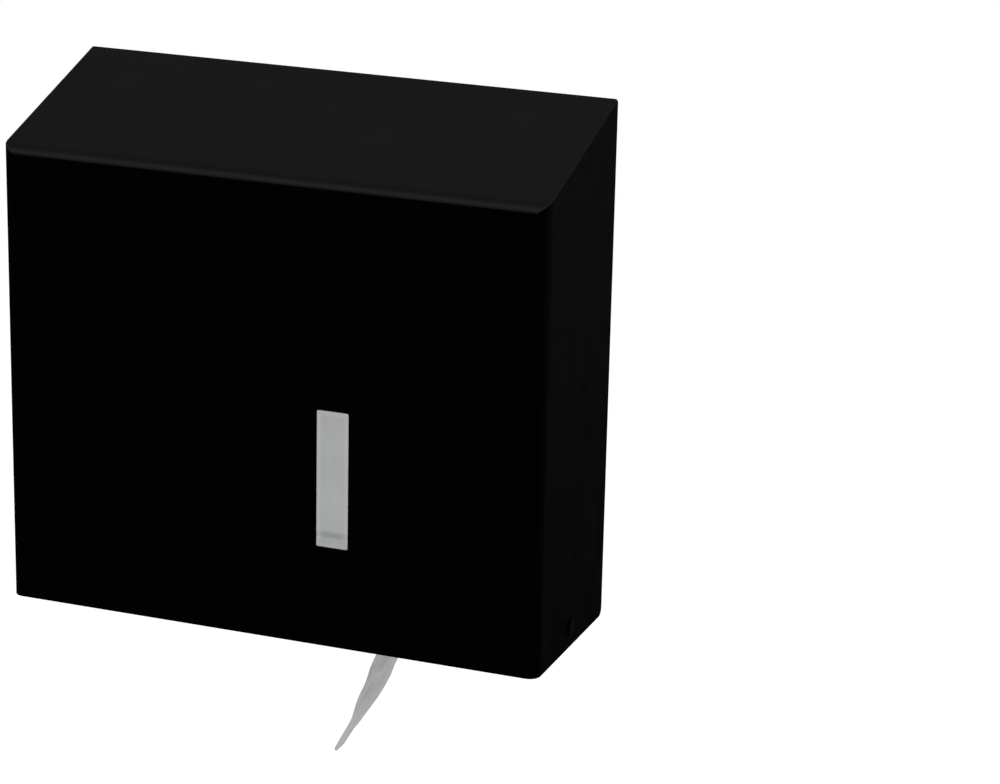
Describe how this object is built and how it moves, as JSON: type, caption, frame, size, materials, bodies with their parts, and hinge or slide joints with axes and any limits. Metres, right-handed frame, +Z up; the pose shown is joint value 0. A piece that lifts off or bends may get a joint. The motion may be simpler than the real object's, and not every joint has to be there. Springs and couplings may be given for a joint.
{
  "type": "jumbo toilet roll dispenser",
  "caption": "Wall-mounted jumbo toilet roll dispenser with a drop-down black cover, a slot window and a turning roll on a spindle.",
  "frame": {"origin": "on the wall plane at the back of the back plate, on the centre line, level with the roll's axis", "axes": "+X to the right seen from the room, +Y into the wall, +Z up"},
  "size_m": [0.372, 0.126, 0.4355],
  "materials": {
    "black_powder_coat": "satin",
    "black_plated_steel": "satin",
    "stainless_sheet": "satin",
    "turned_steel": "satin",
    "zinc_steel": "satin",
    "spring_steel": "satin",
    "frosted_plastic": "matte",
    "grey_plastic": "matte",
    "light_grey_plastic": "matte",
    "white_nylon": "matte",
    "core_board": "matte",
    "tissue_roll": "matte",
    "tissue_paper": "matte",
    "label_film": "matte"
  },
  "bodies": {
    "housing": {"back_plate": "stainless_sheet", "paper_guide_left": "stainless_sheet", "paper_guide_right": "stainless_sheet", "blank_label": "label_film", "spindle": "turned_steel", "spindle_rivets": "turned_steel", "thrust_washer": "white_nylon", "hub_retainer": "zinc_steel", "hub_screw": "zinc_steel", "pivot_bush_left": "white_nylon", "pivot_bush_right": "white_nylon", "paper_tail": "tissue_paper"},
    "cover": {"cover": "black_powder_coat", "window_pane": "frosted_plastic", "window_frame": "grey_plastic", "pivot_pin_left": "black_plated_steel", "pivot_pin_right": "black_plated_steel", "pivot_washer_left": "zinc_steel", "pivot_washer_right": "zinc_steel", "pivot_cap_left": "light_grey_plastic", "pivot_cap_right": "light_grey_plastic", "latch_bracket": "black_powder_coat", "latch_pin": "zinc_steel", "latch_spring": "spring_steel"},
    "reel": {"reel_hub": "light_grey_plastic", "roll_core": "core_board", "paper_roll": "tissue_roll"},
    "latch": {"latch_hook": "zinc_steel"}
  },
  "joints": [
    {"name": "cover_hinge", "type": "hinge", "parent": "housing", "child": "cover", "pos_m": [0, -0.063, -0.132], "axis": [1, 0, 0], "range_deg": [0, 155], "deforming": ["paper_tail"]},
    {"name": "reel_spin", "type": "hinge", "parent": "housing", "child": "reel", "pos_m": [0, 0, 0], "axis": [0, 1, 0], "continuous": true},
    {"name": "latch_release", "type": "hinge", "parent": "cover", "child": "latch", "pos_m": [0, -0.04, 0.17604], "axis": [-1, 0, 0], "range_deg": [0, 6], "stiffness_Nm_per_rad": 0.3, "springref_deg": -5.73, "deforming": ["latch_spring"]}
  ]
}
